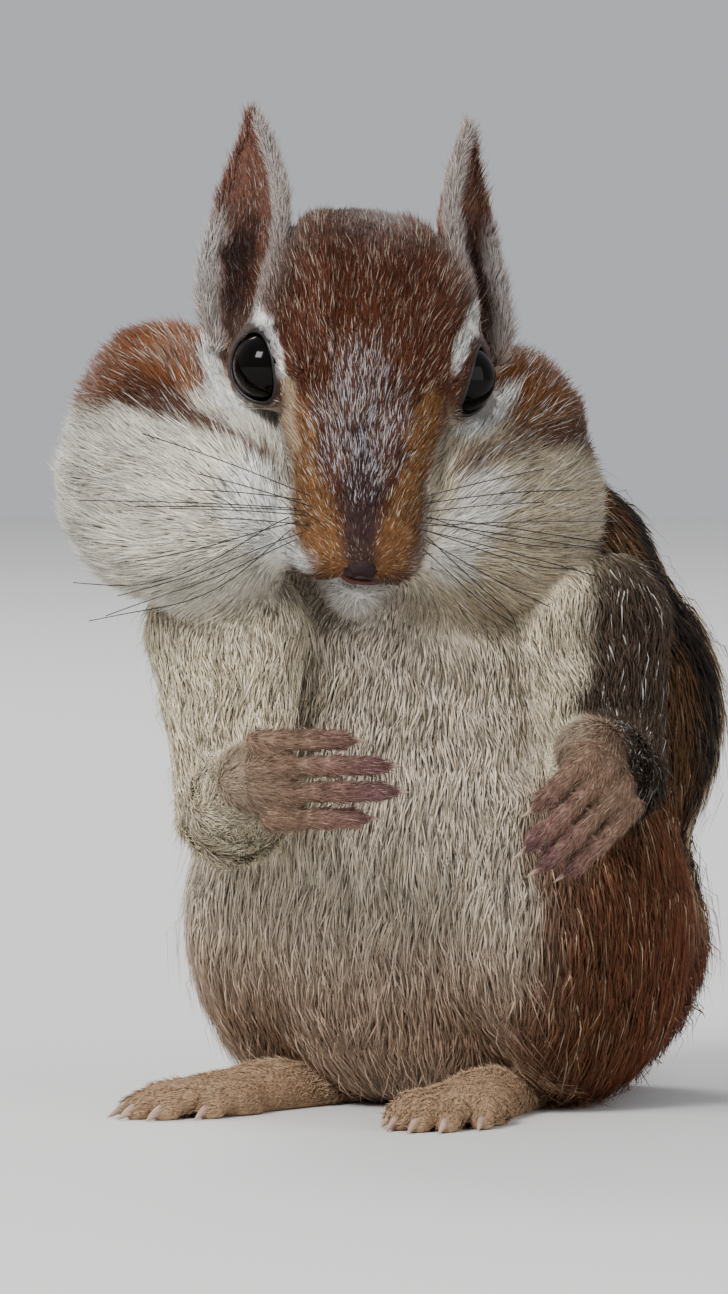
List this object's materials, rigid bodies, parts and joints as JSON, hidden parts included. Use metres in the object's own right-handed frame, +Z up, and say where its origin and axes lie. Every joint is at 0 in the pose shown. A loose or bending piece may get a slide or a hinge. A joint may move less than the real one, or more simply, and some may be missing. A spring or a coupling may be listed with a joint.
{
  "type": "sitting chipmunk with full cheek pouches",
  "caption": "Life-size still chipmunk sitting up on its haunches, cheek pouches full, hands raised before its chest, tail along the floor behind it.",
  "frame": {"origin": "centre of the bounding box's foot, on the floor that the feet, haunches and tail rest on", "axes": "+Z up, -Y the way the face looks, +X to the animal's left"},
  "size_m": [0.0742, 0.1284, 0.1117],
  "materials": {
    "russet_fur": "short grizzled chestnut fur",
    "striped_fur": "short fur, tawny flanks, dark and pale back stripes, pale belly",
    "cream_fur": "short cream fur with fine dark hairs",
    "white_fur": "short whitish fur",
    "tan_fur": "very short tan fur over purplish skin, horn-coloured claws",
    "tail_fur": "flat bushy fur, dark above with frosted edges, rufous below",
    "nose_skin": "moist bare dark skin",
    "eye": "wet black"
  },
  "bodies": {
    "root": {"head": "russet_fur", "nose": "nose_skin", "jaw": "white_fur", "cheek_right": "cream_fur", "cheek_left": "cream_fur", "ear_right": "russet_fur", "ear_left": "russet_fur", "eye_right": "eye", "eye_left": "eye", "neck": "russet_fur", "chest": "striped_fur", "hips": "striped_fur", "upper_arm_right": "cream_fur", "upper_arm_left": "cream_fur", "forearm_right": "cream_fur", "forearm_left": "cream_fur", "hand_right": "tan_fur", "hand_left": "tan_fur", "thigh_right": "striped_fur", "thigh_left": "striped_fur", "foot_right": "tan_fur", "foot_left": "tan_fur", "tail_base": "tail_fur", "tail_mid": "tail_fur", "tail_tip": "tail_fur"}
  },
  "joints": []
}
